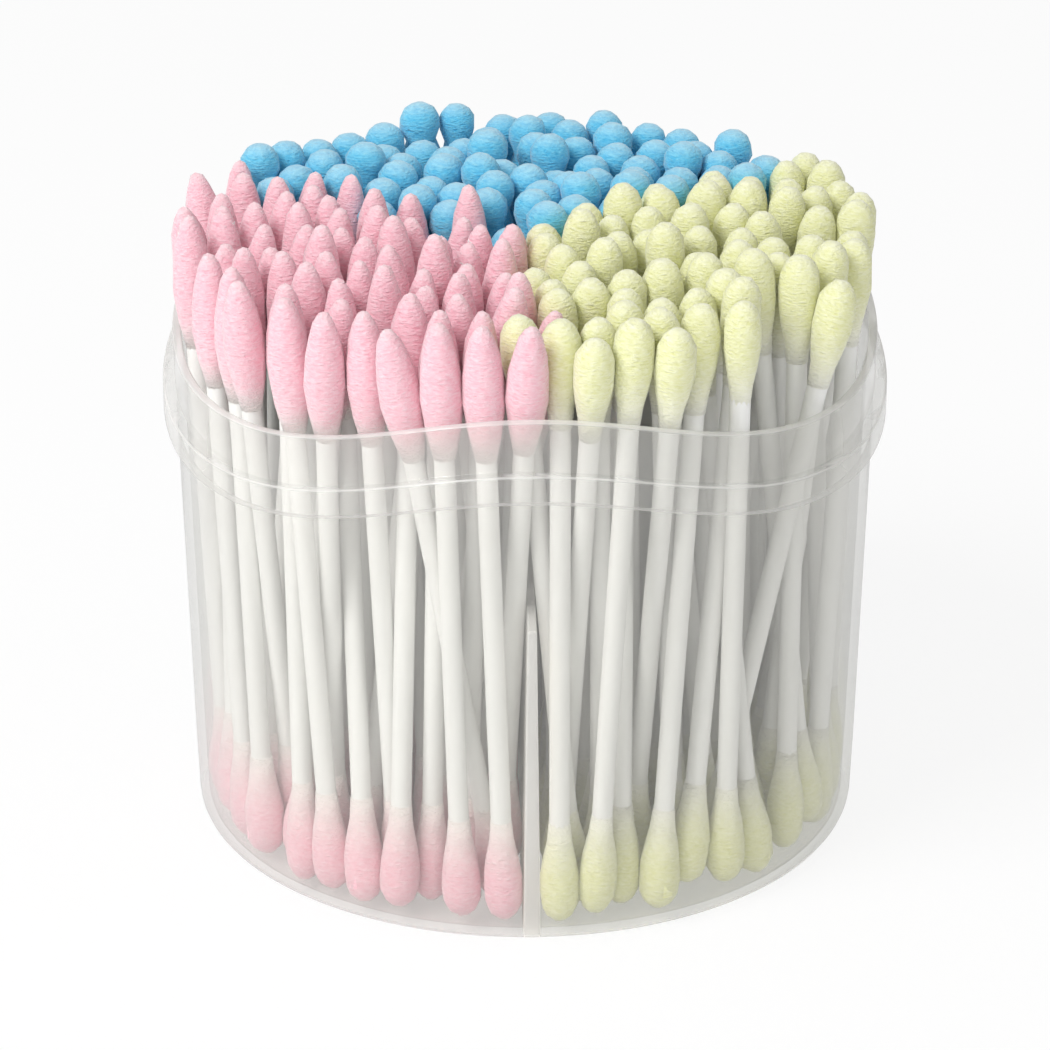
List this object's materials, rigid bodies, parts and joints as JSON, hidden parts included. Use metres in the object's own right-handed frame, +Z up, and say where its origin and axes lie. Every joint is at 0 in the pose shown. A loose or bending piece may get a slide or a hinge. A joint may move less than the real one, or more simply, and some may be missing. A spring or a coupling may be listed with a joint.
{
  "type": "cotton swab tub",
  "caption": "Open round clear plastic tub with a wavy rim and three compartments, filled with pink, yellow and blue cotton swabs.",
  "frame": {"origin": "centre of the tub's underside", "axes": "+Z up along the tub's axis, -Y towards the partition between the pink and yellow swabs"},
  "size_m": [0.0868, 0.0868, 0.0795],
  "materials": {
    "clear_plastic": "cloudy clear polypropylene, smooth",
    "paper": "rolled white paper, matte",
    "pink_cotton": "wound cotton, matte and soft",
    "yellow_cotton": "wound cotton, matte and soft",
    "blue_cotton": "wound cotton, matte and soft"
  },
  "bodies": {
    "root": {"tub": "clear_plastic", "pink_sticks": "paper", "pink_upper_tips": "pink_cotton", "pink_lower_tips": "pink_cotton", "yellow_sticks": "paper", "yellow_upper_tips": "yellow_cotton", "yellow_lower_tips": "yellow_cotton", "blue_sticks": "paper", "blue_upper_tips": "blue_cotton", "blue_lower_tips": "blue_cotton"}
  },
  "joints": []
}
